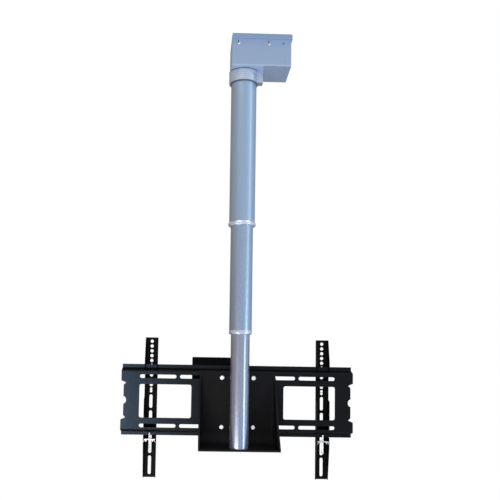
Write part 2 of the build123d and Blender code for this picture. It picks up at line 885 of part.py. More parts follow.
def shelf_bracket():
    """Folded bracket: back plate, shelf under the column and two curved gussets."""
    depth = plate_front - shelf_front
    middle_y = (plate_front + shelf_front) / 2
    outer = Pos(0, middle_y) * Rectangle(2 * bracket_half_width, depth)
    outer = fillet(outer.vertices().group_by(Axis.Y)[-1], bracket_corner + bracket_sheet)
    inner = Pos(0, middle_y - bracket_sheet) * Rectangle(
        2 * (bracket_half_width - bracket_sheet), depth
    )
    inner = fillet(inner.vertices().group_by(Axis.Y)[-1], bracket_corner)
    height = shelf_bottom - bracket_top
    front = shelf_front - bracket_sheet
    side_outer = make_face(
        Polyline(
            (front, -shelf_bottom),
            (plate_front, -shelf_bottom),
            (plate_front, -bracket_top),
            (front, -bracket_top),
            close=True,
        )
    )
    side_inner = make_face(
        Polyline(
            (front - 1, -column_end),
            (bracket_back, -column_end),
            (bracket_back, -bracket_top + 1),
            (front - 1, -bracket_top + 1),
            close=True,
        )
    )
    low = lambda v: v.Y > plate_front / 2 and v.Z < -column_end + 1
    side_outer = Plane.YZ * side_outer
    side_inner = Plane.YZ * side_inner
    side_outer = fillet(side_outer.vertices().filter_by(low), shelf_bend + bracket_sheet)
    side_inner = fillet(side_inner.vertices().filter_by(low), shelf_bend)
    body = Pos(0, 0, -shelf_bottom) * extrude(outer, height)
    body = body & extrude(side_outer, 2 * bracket_half_width, both=True)
    hollow = Pos(0, 0, -shelf_bottom) * extrude(inner, height + 1)
    body -= hollow & extrude(side_inner, 2 * bracket_half_width, both=True)
    # The gussets' front edge is an arc from the shelf's nose up to the back plate
    start = (shelf_front, -column_end + gusset_nose - bracket_sheet)
    end = (bracket_back, -gusset_top)
    rise = end[1] - start[1]
    run = end[0] - start[0]
    length = (rise**2 + run**2) ** 0.5
    mid = (
        (start[0] + end[0]) / 2 + gusset_sag * rise / length,
        (start[1] + end[1]) / 2 - gusset_sag * run / length,
    )
    arc = ThreePointArc(start, mid, end)
    rest = Polyline(
        end,
        (bracket_back, -bracket_top + 10),
        (shelf_front - 10, -bracket_top + 10),
        (shelf_front - 10, start[1]),
        start,
    )
    waste = make_face([arc, rest])
    body -= extrude(Plane.YZ * waste, 2 * bracket_half_width, both=True)
    for x, z in corners(bolt_spacing_x / 2, bolt_spacing_z / 2):
        body -= rod_along_y(bolt_radius + seat_clearance, 0, 2 * plate_front, x, -bolt_middle + z)
    depth = foot_screw_head_radius - foot_screw_radius
    for place in around(3, foot_screw_pitch_radius, 90):
        cone = Pos(0, 0, -shelf_bottom + depth / 2) * Cone(
            foot_screw_head_radius + seat_clearance, foot_screw_radius + seat_clearance, depth
        )
        body -= place * (cone + rod(foot_screw_radius + seat_clearance, column_end - 1, shelf_bottom + 1))
    return body


def bracket_bolts():
    """Four button-head bolts through the bracket and the wall plate."""
    grip = bracket_sheet + plate_sheet + washer_thickness + nut_height
    head = Pos(0, 0, bolt_head_height / 2) * Cylinder(bolt_head_radius, bolt_head_height)
    head = fillet(head.edges().group_by(Axis.Z)[-1], bolt_head_height * 0.7)
    socket = extrude(RegularPolygon(bolt_socket_flat / 2, 6, major_radius=False), bolt_socket_depth)
    bolt = head - Pos(0, 0, bolt_head_height - bolt_socket_depth) * socket
    length = grip + bolt_end_margin
    bolt += Pos(0, 0, -length / 2) * Cylinder(bolt_radius, length)
    bolts = []
    for x, z in corners(bolt_spacing_x / 2, bolt_spacing_z / 2):
        bolts.append(Pos(x, bracket_back, -bolt_middle + z) * Rot(90, 0, 0) * bolt)
    return Compound(bolts)


def bracket_washers():
    """Washers behind the wall plate."""
    start = plate_front + plate_sheet
    rings = []
    for x, z in corners(bolt_spacing_x / 2, bolt_spacing_z / 2):
        disc = rod_along_y(washer_radius, start, start + washer_thickness, x, -bolt_middle + z)
        hole = rod_along_y(bolt_radius + free_clearance, 0, 2 * start, x, -bolt_middle + z)
        rings.append(disc - hole)
    return Compound(rings)


def bracket_nuts():
    """Hexagon nuts behind the washers."""
    start = plate_front + plate_sheet + washer_thickness
    blank = extrude(RegularPolygon(nut_flat / 2, 6, major_radius=False), nut_height)
    blank = chamfer(blank.edges().group_by(Axis.Z)[-1], 0.6)
    blank -= Cylinder(bolt_radius + seat_clearance, 3 * nut_height)
    nuts = []
    for x, z in corners(bolt_spacing_x / 2, bolt_spacing_z / 2):
        nuts.append(Pos(x, start, -bolt_middle + z) * Rot(-90, 0, 0) * blank)
    return Compound(nuts)


def plate_profile():
    """Section of the wall plate, in Y and Z: lip, joggle, web, joggle, lip."""
    half = plate_height / 2
    centre = plate_sheet / 2
    lip_y = lip_front + centre
    web_y = plate_front + centre
    upper = [
        (lip_y, half),
        (lip_y, half - lip_height),
        (web_y, half - lip_height - joggle_height),
    ]
    lower = [(y, -z) for y, z in reversed(upper)]
    line = FilletPolyline(*(upper + lower), radius=plate_bend)
    return trace(line, plate_sheet)


def end_cuts():
    """Recess, two pointed notches and a round notch at one end of the web."""
    end = plate_half_width
    half = end_recess_height / 2
    recess = Rectangle(2 * end_recess_depth, end_recess_height)
    cuts = Pos(end, 0) * recess
    for side in (-1, 1):
        notch = make_face(
            Polyline(
                (end + 1, side * half),
                (end - end_notch_depth, side * half),
                (end - end_recess_depth, side * (half - end_notch_height / 2)),
                (end + 1, side * (half - end_notch_height / 2)),
                close=True,
            )
        )
        wedge = make_face(
            Polyline(
                (end + 1, side * (half + end_notch_height / 2)),
                (end - end_notch_depth, side * half),
                (end + 1, side * half),
                close=True,
            )
        )
        cuts += notch
        cuts += wedge
    bulge = Ellipse(end_round_depth, end_round_height / 2)
    return cuts + Pos(end - end_recess_depth, 0) * bulge


def wall_plate():
    """Universal plate folded from one sheet, with windows, slots and notched ends."""
    blank = extrude(Plane.YZ * plate_profile(), plate_half_width, both=True)
    cuts = Sketch()
    window_x = (window_inner + window_outer) / 2
    for side in (-1, 1):
        window = RectangleRounded(window_outer - window_inner, window_height, window_corner)
        cuts += Pos(side * window_x, -plate_opening_drop) * window
        for row in (-1, 1):
            for i in range(2):
                x = slot_outer - slot_length / 2 - i * (slot_length + slot_gap)
                slot = SlotOverall(slot_length, slot_width)
                cuts += Pos(side * x, row * slot_row_spacing / 2 - plate_opening_drop) * slot
    for x, z in corners(bolt_spacing_x / 2, bolt_spacing_z / 2):
        cuts += Pos(x, z - bolt_drop) * Circle(bolt_radius + free_clearance)
    tool = extrude(Plane.XZ * cuts, plate_front + 2 * plate_sheet, dir=(0, 1, 0))
    blank -= tool
    web_tool = extrude(Plane.XZ.offset(-plate_front + 1) * end_cuts(), 2 * plate_sheet, dir=(0, 1, 0))
    blank -= web_tool
    blank -= mirror(web_tool, Plane.YZ)
    return Pos(0, 0, -plate_middle) * blank


def receiver_box():
    """Flat box with the remote receiver, hung behind the upper lip."""
    front = lip_back + pad_thickness
    left = -receiver_left
    body = block(
        left,
        left + receiver_width,
        front,
        front + receiver_thickness,
        -receiver_top - receiver_height,
        -receiver_top,
    )
    body = fillet(body.edges().filter_by(Axis.Y), receiver_corner)
    return fillet(body.edges().group_by(Axis.Y)[-1], 1.2)


def receiver_pads():
    """Two adhesive pads between the receiver box and the lip."""
    pads = []
    for x in (0.2, 0.8):
        middle = -receiver_left + x * receiver_width
        pads.append(
            block(
                middle - pad_width / 2,
                middle + pad_width / 2,
                lip_back,
                lip_back + pad_thickness,
                -plate_top - 1 - pad_height,
                -plate_top - 1,
            )
        )
    return Compound(pads)


def arm_side():
    """Side outline of an arm in Y and Z: tapered ends, hook, waist, belly and heel."""
    top = -arm_top
    bottom = top - arm_length
    end_y = arm_face - arm_end_depth
    hook_y = arm_face - hook_depth
    waist_y = arm_face - arm_waist_depth
    belly_y = arm_face - arm_belly_depth
    lip_top = -plate_top + hook_clearance
    heel_top = -plate_bottom - hook_clearance
    slot_front = lip_front - hook_clearance
    slot_back = lip_back + hook_clearance
    nose = -plate_top - hook_nose
    heel_bottom = heel_top - heel_drop
    belly_top = -plate_top - belly_top_inset
    belly_bottom = -plate_bottom + belly_bottom_inset
    return make_face(
        Polyline(
            (arm_face, top),
            (end_y, top),
            (hook_y, lip_top + hook_rise),
            (hook_y, nose),
            (slot_front, nose),
            (slot_front, lip_top),
            (slot_back, lip_top),
            (slot_back, nose - 4),
            (waist_y, nose - 8),
            (waist_y, belly_top),
            (belly_y, belly_top - belly_slope),
            (belly_y, belly_bottom + belly_slope),
            (waist_y, belly_bottom),
            (waist_y, heel_top),
            (hook_y, heel_top),
            (hook_y, heel_bottom),
            (end_y, bottom),
            (arm_face, bottom),
            close=True,
        )
    )


def arm():
    """Channel-section arm about X = 0, with its row of holes and its slots."""
    depth = arm_belly_depth + 2
    outer = Pos(0, arm_face - depth / 2) * Rectangle(arm_width, depth)
    outer = fillet(outer.vertices().group_by(Axis.Y)[-1], arm_bend)
    inner = Pos(0, arm_face - depth / 2 - arm_sheet) * Rectangle(arm_width - 2 * arm_sheet, depth)
    inner = fillet(inner.vertices().group_by(Axis.Y)[-1], arm_bend - arm_sheet + 0.2)
    channel = Pos(0, 0, -arm_top - arm_length) * extrude(outer - inner, arm_length)
    body = channel & extrude(Plane.YZ * arm_side(), arm_width, both=True)
    for i in range(arm_hole_count):
        z = -arm_top - arm_hole_first - i * arm_hole_pitch
        body -= rod_along_y(arm_hole_radius, arm_face - 5, arm_face + 5, 0, z)
    for drop in arm_double_hole:
        body -= rod_along_y(arm_double_hole_radius, arm_face - 5, arm_face + 5, 0, -arm_top - drop)
    for start, end in arm_slots:
        slot = SlotOverall(end - start, arm_slot_width, rotation=90)
        middle = -arm_top - (start + end) / 2
        tool = extrude(Plane.XZ.offset(-arm_face - 5) * Pos(0, middle) * slot, 10)
        body -= tool
    return body


def safety_tab():
    """Folded zinc tab between an arm's flanges, its front cut to a toothed crown."""
    half = arm_width / 2 - arm_sheet - free_clearance
    wing = arm_width / 2
    top = -tab_top
    body = block(-half, half, tab_front, tab_front + tab_depth, top - tab_sheet, top)
    right = [
        (wing - tab_shoulder, top),
        (wing, top - tab_wing),
        (tab_tooth_x + tab_tooth_half, top - tab_strip),
        (tab_tooth_x, top - tab_tooth),
        (tab_tooth_x - tab_tooth_half, top - tab_strip),
    ]
    left = [(-x, z) for x, z in reversed(right)]
    crown = make_face(Polyline(*(right + left), close=True))
    apron = extrude(Plane.XZ.offset(-tab_front) * crown, -tab_sheet)
    body += apron
    return body - rod(safety_screw_radius + seat_clearance, tab_top - 1, tab_top + 5, 0, safety_screw_y)


def safety_screw():
    """Long screw up through the tab, its tip in front of the plate's lower lip."""
    seat = safety_screw_top + safety_screw_length
    body = rod(safety_screw_radius, safety_screw_top, seat, 0, safety_screw_y)
    body = chamfer(body.edges().group_by(Axis.Z)[-1], 0.8)
    head = rod(safety_head_radius, seat, seat + safety_head_height, 0, safety_screw_y)
    head = fillet(head.edges().group_by(Axis.Z)[0], 1.2)
    return body + head


parts = {
    "ceiling_tray": ceiling_tray(),
    "housing_shell": housing_shell(),
    "housing_pan": housing_pan(),
    "housing_screws": housing_screws(),
    "support_frame": support_frame(),
    "frame_screws": frame_screws(),
    "column_screws": column_screws(),
    "gearbox": gearbox(),
    "drive_motor": drive_motor(),
    "motor_end_cap": motor_end_cap(),
    "control_board": control_board(),
    "terminal_block": terminal_block(),
    "board_standoffs": board_standoffs(),
    "cable_gland": cable_gland(),
    "top_collar": top_collar(),
    "collar_screw": collar_screw(),
    "upper_tube": upper_tube(),
    "upper_end_ring": end_ring(
        upper_ring_radius, upper_radius, middle_radius, upper_ring_top, upper_ring_height
    ),
    "upper_guide_bush": ring(
        upper_bore - seat_clearance,
        middle_radius + slide_clearance,
        upper_ring_bottom - ring_lip - upper_bush_length,
        upper_ring_bottom - ring_lip,
    ),
    "bearing_carrier": head_bearing_carrier(),
    "carrier_screws": carrier_screws(),
    "spindle_bearing": sealed_bearing(
        head_bearing_radius,
        drive_journal_radius + seat_clearance,
        head_bearing_top,
        head_bearing_height,
    ),
    "drive_spindle": drive_spindle(),
    "spindle_coupling": spindle_coupling(),
    "middle_tube": ring(
        middle_radius,
        middle_bore,
        middle_plug_top + middle_plug_flange,
        middle_ring_bottom - ring_lip,
    ),
    "middle_end_ring": end_ring(
        middle_ring_radius, middle_radius, lower_radius, middle_ring_top, middle_ring_height
    ),
    "middle_guide_bush": ring(
        middle_bore - seat_clearance,
        lower_radius + slide_clearance,
        middle_ring_bottom - ring_lip - middle_bush_length,
        middle_ring_bottom - ring_lip,
    ),
    "middle_top_plug": middle_top_plug(),
    "middle_nut": flanged_nut(
        middle_nut_radius,
        middle_nut_flange_radius,
        drive_spindle_radius + running_clearance,
        middle_nut_top,
        middle_nut_flange,
        middle_nut_body,
        middle_nut_screw_ring,
    ),
    "middle_nut_screws": nut_screws(middle_nut_top, middle_nut_screw_ring),
    "stage_bearing": sealed_bearing(
        stage_bearing_radius,
        hollow_spindle_radius + seat_clearance,
        stage_bearing_top,
        stage_bearing_height,
    ),
    "hollow_spindle": hollow_spindle(),
    "hollow_spindle_ring": hollow_spindle_ring(),
    "lower_tube": ring(lower_radius, lower_bore, lower_plug_top + lower_plug_flange, column_end),
    "lower_top_plug": lower_top_plug(),
    "lower_nut": flanged_nut(
        lower_nut_radius,
        lower_nut_flange_radius,
        hollow_spindle_radius + running_clearance,
        lower_nut_top,
        lower_nut_flange,
        lower_nut_body,
        lower_nut_screw_ring,
    ),
    "lower_nut_screws": nut_screws(lower_nut_top, lower_nut_screw_ring),
    "column_foot": column_foot(),
    "foot_screws": foot_screws(),
    "shelf_bracket": shelf_bracket(),
    "bracket_bolts": bracket_bolts(),
    "bracket_washers": bracket_washers(),
    "bracket_nuts": bracket_nuts(),
    "wall_plate": wall_plate(),
    "receiver_box": receiver_box(),
    "receiver_pads": receiver_pads(),
}

for side, sign in (("left", -1), ("right", 1)):
    place = Pos(sign * arm_x, 0, 0)
    parts["arm_" + side] = place * arm()
    parts["safety_tab_" + side] = place * safety_tab()
    parts["safety_screw_" + side] = place * safety_screw()

os.makedirs("parts", exist_ok=True)
for name, shape in parts.items():
    export_step(shape, "parts/" + name + ".step")
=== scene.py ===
"""Looks of a motorised ceiling mount for a television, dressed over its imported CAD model."""

import logging
import math
from abc import ABC, abstractmethod
from dataclasses import dataclass
from enum import Enum
from typing import Any, ClassVar

import bmesh
import bpy
from mathutils import Matrix, Vector


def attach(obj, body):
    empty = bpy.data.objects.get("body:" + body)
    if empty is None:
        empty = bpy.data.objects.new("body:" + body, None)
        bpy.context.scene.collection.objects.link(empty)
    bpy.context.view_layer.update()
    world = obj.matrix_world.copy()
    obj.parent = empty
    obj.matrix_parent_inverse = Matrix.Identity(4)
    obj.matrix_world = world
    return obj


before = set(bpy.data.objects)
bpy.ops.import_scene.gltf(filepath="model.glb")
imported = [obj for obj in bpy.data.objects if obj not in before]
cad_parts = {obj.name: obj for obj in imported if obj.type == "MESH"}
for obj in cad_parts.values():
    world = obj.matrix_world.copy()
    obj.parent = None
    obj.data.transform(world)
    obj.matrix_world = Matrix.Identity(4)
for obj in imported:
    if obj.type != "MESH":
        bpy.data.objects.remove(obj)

log = logging.getLogger("ceiling_mount")

Tree = bpy.types.NodeTree
Socket = bpy.types.NodeSocket
Shape = bmesh.types.BMesh
Point = tuple[float, float, float]

MM = 0.001
ROUND_STEPS = 96
DISC_STEPS = 32
EDGE_SAMPLES = 6

# Nearly all of a noise pattern lies between these two values.
NOISE_LOW = 0.3
NOISE_HIGH = 0.7


class Side(Enum):
    """The two ends of the wall plate."""

    LEFT = "left"
    RIGHT = "right"


def linear(code: str) -> tuple[float, float, float, float]:
    """Turns an sRGB hex value into a linear colour.

    Args:
        code: six hex digits, without a hash.

    Returns:
        Linear red, green, blue and an alpha of 1.
    """
    parts = [int(code[i : i + 2], 16) / 255 for i in (0, 2, 4)]
    out = [c / 12.92 if c <= 0.04045 else ((c + 0.055) / 1.055) ** 2.4 for c in parts]
    return (out[0], out[1], out[2], 1.0)


def per_metre(size_mm: float) -> float:
    """How many patches of a size go in a metre, which is the scale of their pattern."""
    return 1000.0 / size_mm


def add(tree: Tree, kind: str, inputs: dict | None = None, **settings: Any) -> bpy.types.Node:
    """Adds one node, sets it and links it.

    Args:
        tree: the node tree it goes in.
        kind: the node's type name, without its ShaderNode prefix.
        inputs: input name or index to a value, or to the socket that feeds it.
        settings: properties of the node itself.

    Returns:
        The new node.
    """
    node = tree.nodes.new("ShaderNode" + kind)
    for name, value in settings.items():
        setattr(node, name, value)
    for name, value in (inputs or {}).items():
        if isinstance(value, bpy.types.NodeSocket):
            tree.links.new(value, node.inputs[name])
        else:
            node.inputs[name].default_value = value
    return node


def surface(name: str) -> tuple[bpy.types.Material, Tree, Socket]:
    """Starts an empty node material.

    Args:
        name: the material's name.

    Returns:
        The material, its cleared tree and the Object coordinate socket.
    """
    material = bpy.data.materials.new(name)
    material.use_nodes = True
    tree = material.node_tree
    tree.nodes.clear()
    place = add(tree, "TexCoord").outputs["Object"]
    return material, tree, place


def output(tree: Tree, shader: Socket) -> None:
    """Links a shader to the material's output."""
    add(tree, "OutputMaterial", {"Surface": shader})


def mixed(tree: Tree, share: Socket, first: Any, second: Any) -> Socket:
    """Mixes two colours, which are values or sockets. A share of 1 gives the second."""
    mix = add(tree, "Mix", {"Factor": share, "A": first, "B": second}, data_type="RGBA")
    return mix.outputs["Result"]


def noise(
    tree: Tree, place: Socket, size_mm: float, detail: float, roughness: float = 0.5
) -> Socket:
    """Adds an even noise pattern.

    Args:
        tree: the material's tree.
        place: the coordinates of the pattern.
        size_mm: the size of one patch.
        detail: how many finer layers lie in it.
        roughness: how strong each finer layer is.

    Returns:
        The pattern, mostly from NOISE_LOW to NOISE_HIGH.
    """
    inputs = {
        "Vector": place,
        "Scale": per_metre(size_mm),
        "Detail": detail,
        "Roughness": roughness,
    }
    return add(tree, "TexNoise", inputs).outputs["Fac"]


def streaks(tree: Tree, place: Socket, level_mm: float, upright_mm: float) -> Socket:
    """Adds a noise pattern that is drawn out along or across the column's axis.

    Args:
        tree: the material's tree.
        place: the object's coordinates.
        level_mm: the size of one patch in X and Y.
        upright_mm: its size in Z.

    Returns:
        The pattern, mostly from NOISE_LOW to NOISE_HIGH.
    """
    scale = (per_metre(level_mm), per_metre(level_mm), per_metre(upright_mm))
    drawn = add(tree, "Mapping", {"Vector": place, "Scale": scale}).outputs["Vector"]
    return add(tree, "TexNoise", {"Vector": drawn, "Scale": 1.0, "Detail": 2.0}).outputs["Fac"]


def toned(tree: Tree, place: Socket, colour: str, spread: float, size_mm: float) -> Socket:
    """A colour that drifts a little over the surface, as real coats and castings do.

    Args:
        tree: the material's tree.
        place: the coordinates of the pattern.
        colour: the middle colour as sRGB hex.
        spread: how far it goes darker and lighter, as a share.
        size_mm: the size of one patch.

    Returns:
        The colour socket.
    """
    base = linear(colour)[:3]
    low = tuple(c * (1 - spread) for c in base) + (1.0,)
    high = tuple(min(1.0, c * (1 + spread)) for c in base) + (1.0,)
    return mixed(tree, noise(tree, place, size_mm, 4.0, 0.6), low, high)


def remap(tree: Tree, value: Socket, low: float, high: float) -> Socket:
    """Spreads a noise pattern between two roughness values.

    Args:
        tree: the material's tree.
        value: the pattern.
        low: the roughness where the pattern is lowest.
        high: the roughness where it is highest.

    Returns:
        The roughness socket.
    """
    inputs = {
        "Value": value,
        "From Min": NOISE_LOW,
        "From Max": NOISE_HIGH,
        "To Min": low,
        "To Max": high,
    }
    return add(tree, "MapRange", inputs).outputs["Result"]


def eased(
    tree: Tree, value: Socket, start: float, end: float, first: float = 0.0, last: float = 1.0
) -> Socket:
    """Eases from one value to another while its input goes from start to end.

    Args:
        tree: the material's tree.
        value: the input.
        start: the input where the first value still holds.
        end: the input from which the last value holds.
        first: the first value.
        last: the last value.

    Returns:
        The eased value.
    """
    inputs = {"Value": value, "From Min": start, "From Max": end, "To Min": first, "To Max": last}
    step = add(tree, "MapRange", inputs, interpolation_type="SMOOTHSTEP")
    return step.outputs["Result"]


@dataclass(frozen=True)
class PaintedLightBand:
    """A level stretch of a surface, from one height to another, that takes another tone.

    The tone is painted light or painted shade laid into the colour. It is full at `full_mm` and
    gone at `gone_mm`. Both are heights over the origin, and `share` is how much of the tone shows
    where it is full.
    """

    colour: str
    full_mm: float
    gone_mm: float
    share: float

    def over(self, tree: Tree, place: Socket, base: Socket) -> Socket:
        """Lays the band over a colour.

        Args:
            tree: the material's tree.
            place: the object's coordinates.
            base: the colour under the band.

        Returns:
            The mixed colour.
        """
        height = add(tree, "SeparateXYZ", {0: place}).outputs["Z"]
        cover = eased(tree, height, self.full_mm * MM, self.gone_mm * MM, self.share, 0.0)
        return mixed(tree, cover, base, linear(self.colour))


@dataclass(frozen=True)
class Finish(ABC):
    """A surface whose tone, roughness and relief wander a little, as on anything real.

    `colour` is sRGB hex, and it goes darker and lighter by the share `drift` over patches of
    `drift_mm`. The roughness goes by `swing` under and over its middle. The grain stands
    `relief_mm` high, and edges look `edge_mm` round. A size of 0 leaves either out. `metal` is
    how much of the surface mirrors as bare metal does, and `level` is how strongly the rest
    shines.
    """

    name: str
    colour: str
    roughness: float = 0.3
    grain_mm: float = 1.0
    relief_mm: float = 0.0
    edge_mm: float = 0.0
    metal: float = 0.0
    level: float = 0.5

    drift: ClassVar[float] = 0.05
    drift_mm: ClassVar[float] = 20.0
    swing: ClassVar[tuple[float, float]] = (-0.05, 0.05)

    @abstractmethod
    def grain(self, tree: Tree, place: Socket) -> Socket:
        """The fine pattern of the finish."""

    def gloss(self, tree: Tree, place: Socket, grain: Socket) -> Socket:
        """The pattern that the roughness follows, here the grain itself."""
        return grain

    def tone(self, tree: Tree, place: Socket) -> Socket:
        """The drifting colour."""
        return toned(tree, place, self.colour, self.drift, self.drift_mm)

    def normal(self, tree: Tree, grain: Socket) -> Socket:
        """Rounds the edges and lays the grain's relief over them.

        Args:
            tree: the material's tree.
            grain: the pattern of the relief.

        Returns:
            The normal socket.
        """
        inputs = {"Height": grain, "Strength": 1.0, "Distance": self.relief_mm * MM}
        if self.edge_mm:
            edge = add(tree, "Bevel", {"Radius": self.edge_mm * MM}, samples=EDGE_SAMPLES)
            if not self.relief_mm:
                return edge.outputs["Normal"]
            inputs["Normal"] = edge.outputs["Normal"]
        return add(tree, "Bump", inputs).outputs["Normal"]

    def build(self) -> bpy.types.Material:
        """Builds the node material.

        Returns:
            The material, with one principled shader.
        """
        material, tree, place = surface(self.name)
        grain = self.grain(tree, place)
        low, high = (self.roughness + step for step in self.swing)
        shader = add(
            tree,
            "BsdfPrincipled",
            {
                "Base Color": self.tone(tree, place),
                "Metallic": self.metal,
                "Roughness": remap(tree, self.gloss(tree, place, grain), low, high),
                "Specular IOR Level": self.level,
                "Normal": self.normal(tree, grain),
            },
        )
        output(tree, shader.outputs["BSDF"])
        return material


@dataclass(frozen=True)
class PaintedSteel(Finish):
    """Stove-enamelled sheet steel, sprayed and baked.

    It is smooth, with a faint orange peel as relief, wide patches that shine a little more or
    less, and soft folds. Its bands are painted light and shade: a painted highlight along a fold
    and a painted shadow under a ledge.
    """

    grain_mm: float = 2.2
    relief_mm: float = 0.012
    edge_mm: float = 0.7
    gloss_mm: float = 60.0
    bands: tuple[PaintedLightBand, ...] = ()

    drift: ClassVar[float] = 0.02
    drift_mm: ClassVar[float] = 45.0
    swing: ClassVar[tuple[float, float]] = (-0.03, 0.04)

    def grain(self, tree: Tree, place: Socket) -> Socket:
        """The orange peel."""
        return noise(tree, place, self.grain_mm, 2.0)

    def gloss(self, tree: Tree, place: Socket, grain: Socket) -> Socket:
        """Wide patches where the coat lies thicker or thinner."""
        return noise(tree, place, self.gloss_mm, 3.0)

    def tone(self, tree: Tree, place: Socket) -> Socket:
        """Lays the bands over the drifting colour.

        Args:
            tree: the material's tree.
            place: the object's coordinates.

        Returns:
            The colour socket.
        """
        tone = toned(tree, place, self.colour, self.drift, self.drift_mm)
        for band in self.bands:
            tone = band.over(tree, place, tone)
        return tone


@dataclass(frozen=True)
class PowderCoat(Finish):
    """Black polyester powder, melted onto folded steel.

    It flows into a fine even grain that breaks up its gloss, so the same noise gives both the
    relief and the roughness.
    """

    grain_mm: float = 0.9
    relief_mm: float = 0.02
    edge_mm: float = 0.5

    drift: ClassVar[float] = 0.12
    drift_mm: ClassVar[float] = 30.0
    swing: ClassVar[tuple[float, float]] = (-0.06, 0.06)

    def grain(self, tree: Tree, place: Socket) -> Socket:
        """The even grain of melted powder."""
        return noise(tree, place, self.grain_mm, 3.0)


@dataclass(frozen=True)
class DrawnAluminium(Finish):
    """Anodised aluminium tube, drawn through a die.

    The die leaves faint lines along the tube, made by noise that is drawn out along Z. The oxide
    layer is a little milky, so the surface isn't all metal.
    """

    grain_mm: float = 0.5
    relief_mm: float = 0.004
    metal: float = 0.92
    length_mm: float = 120.0

    drift: ClassVar[float] = 0.015
    drift_mm: ClassVar[float] = 80.0
    swing: ClassVar[tuple[float, float]] = (-0.03, 0.03)

    def grain(self, tree: Tree, place: Socket) -> Socket:
        """The draw lines."""
        return streaks(tree, place, self.grain_mm, self.length_mm)


@dataclass(frozen=True)
class TurnedMetal(Finish):
    """Metal turned on a lathe.

    Its fine tool rings lie level round the column's axis, so the noise is drawn out in X and Y.
    """

    grain_mm: float = 0.35
    relief_mm: float = 0.003
    edge_mm: float = 0.3
    metal: float = 1.0
    length_mm: float = 125.0

    drift: ClassVar[float] = 0.02
    drift_mm: ClassVar[float] = 25.0
    swing: ClassVar[tuple[float, float]] = (-0.03, 0.05)

    def grain(self, tree: Tree, place: Socket) -> Socket:
        """The tool rings."""
        return streaks(tree, place, self.length_mm, self.grain_mm)


@dataclass(frozen=True)
class PlatedSteel(Finish):
    """Zinc-plated or galvanised steel.

    It is a pale metal whose crystals show as soft cloudy patches, by the cells of a Voronoi
    pattern in its roughness and noise of the same size in its tone.
    """

    grain_mm: float = 4.0
    edge_mm: float = 0.3
    metal: float = 1.0

    drift: ClassVar[float] = 0.06
    swing: ClassVar[tuple[float, float]] = (0.0, 0.12)

    def grain(self, tree: Tree, place: Socket) -> Socket:
        """The crystals."""
        cells = add(tree, "TexVoronoi", {"Vector": place, "Scale": per_metre(self.grain_mm)})
        return cells.outputs["Distance"]

    def tone(self, tree: Tree, place: Socket) -> Socket:
        """The colour, in patches as large as the crystals."""
        return toned(tree, place, self.colour, self.drift, self.grain_mm)


@dataclass(frozen=True)
class CastAlloy(Finish):
    """Cast alloy: a dull metal that keeps the grain of its mould as relief."""

    roughness: float = 0.5
    grain_mm: float = 1.2
    relief_mm: float = 0.05
    metal: float = 1.0

    drift_mm: ClassVar[float] = 12.0
    swing: ClassVar[tuple[float, float]] = (-0.05, 0.1)

    def grain(self, tree: Tree, place: Socket) -> Socket:
        """The mould's grain."""
        return noise(tree, place, self.grain_mm, 4.0)


@dataclass(frozen=True)
class MouldedPlastic(Finish):
    """Moulded plastic or rubber: an even colour with the fine spark-eroded grain of its mould."""

    roughness: float = 0.45
    grain_mm: float = 0.5
    relief_mm: float = 0.015
    edge_mm: float = 0.5
    level: float = 0.35

    def grain(self, tree: Tree, place: Socket) -> Socket:
        """The spark-eroded grain."""
        return noise(tree, place, self.grain_mm, 2.0)


def dress(finish: Finish, *names: str) -> None:
    """Gives CAD nodes one finish.

    Args:
        finish: the finish to build.
        names: the CAD nodes that take it.
    """
    material = finish.build()
    for name in names:
        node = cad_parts[name]
        node.data.materials.clear()
        node.data.materials.append(material)
    log.info("%s on %s", finish.name, ", ".join(names))


def place_piece(name: str, shape: Shape, finish: Finish, body: str) -> None:
    """Turns a finished shape into a piece that rides on a body.

    Args:
        name: the piece's name.
        shape: its shape, in its place. It is freed here.
        finish: the finish to build for it.
        body: the body that carries it.
    """
    bmesh.ops.recalc_face_normals(shape, faces=shape.faces)
    mesh = bpy.data.meshes.new(name)
    shape.to_mesh(mesh)
    shape.free()
    mesh.materials.append(finish.build())
    piece = bpy.data.objects.new(name, mesh)
    bpy.context.scene.collection.objects.link(piece)
    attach(piece, body)
    log.info("%s on %s", name, body)


def front_disc(shape: Shape, place: Point, radius: float, thick: float) -> None:
    """Adds a disc that faces the front.

    Args:
        shape: the shape it is added to.
        place: its middle in millimetres.
        radius: its radius in millimetres.
        thick: its thickness in millimetres.
    """
    at = Matrix.Translation(Vector(place) * MM)
    bmesh.ops.create_cone(
        shape,
        cap_ends=True,
        segments=DISC_STEPS,
        radius1=radius * MM,
        radius2=radius * MM,
        depth=thick * MM,
        matrix=at @ Matrix.Rotation(math.radians(90), 4, "X"),
    )


def turned_band(
    name: str, radius: float, wall: float, top: float, height: float, finish: Finish, body: str
) -> None:
    """Turns a flat band round the column's axis.

    Args:
        name: the piece's name.
        radius: its outer radius in millimetres.
        wall: the thickness of its wall in millimetres.
        top: height of its upper face in millimetres.
        height: its height in millimetres.
        finish: the finish to build for it.
        body: the body that carries it.
    """
    shape = bmesh.new()
    inner, foot = radius - wall, top - height
    corners = ((inner, top), (radius, top), (radius, foot), (inner, foot))
    points = [shape.verts.new((r * MM, 0, z * MM)) for r, z in corners]
    lines = [shape.edges.new((points[i - 1], points[i])) for i in range(len(points))]
    bmesh.ops.spin(
        shape,
        geom=points + lines,
        cent=(0, 0, 0),
        axis=(0, 0, 1),
        angle=2 * math.pi,
        steps=ROUND_STEPS,
        use_duplicate=False,
        use_merge=True,
    )
    place_piece(name, shape, finish, body)


